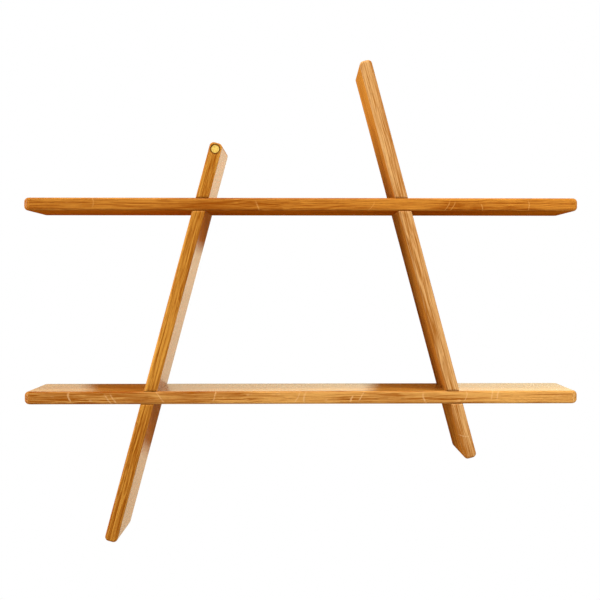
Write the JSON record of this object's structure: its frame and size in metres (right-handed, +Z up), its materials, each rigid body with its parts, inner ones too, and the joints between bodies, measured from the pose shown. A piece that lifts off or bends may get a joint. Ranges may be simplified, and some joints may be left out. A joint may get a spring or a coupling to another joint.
{
  "type": "wall shelf",
  "caption": "Wall-hung oak shelf: level boards halved through uprights that lean together like a letter A, with a brass plug in one upright, hung on keyhole plates.",
  "frame": {"origin": "on the wall plane, midway between the round openings of the two keyhole plates", "axes": "+X to the right along the shelves, +Y towards the wall, +Z up"},
  "size_m": [0.78, 0.16, 0.6781],
  "materials": {
    "oak": "oiled, satin",
    "brass": "fine turned",
    "zinc_steel": "bright zinc plated"
  },
  "bodies": {
    "root": {"upper_shelf": "oak", "lower_shelf": "oak", "left_upright": "oak", "right_upright": "oak", "brass_plug": "brass", "left_hanger_plate": "zinc_steel", "right_hanger_plate": "zinc_steel", "left_hanger_screws": "zinc_steel", "right_hanger_screws": "zinc_steel"}
  },
  "joints": []
}
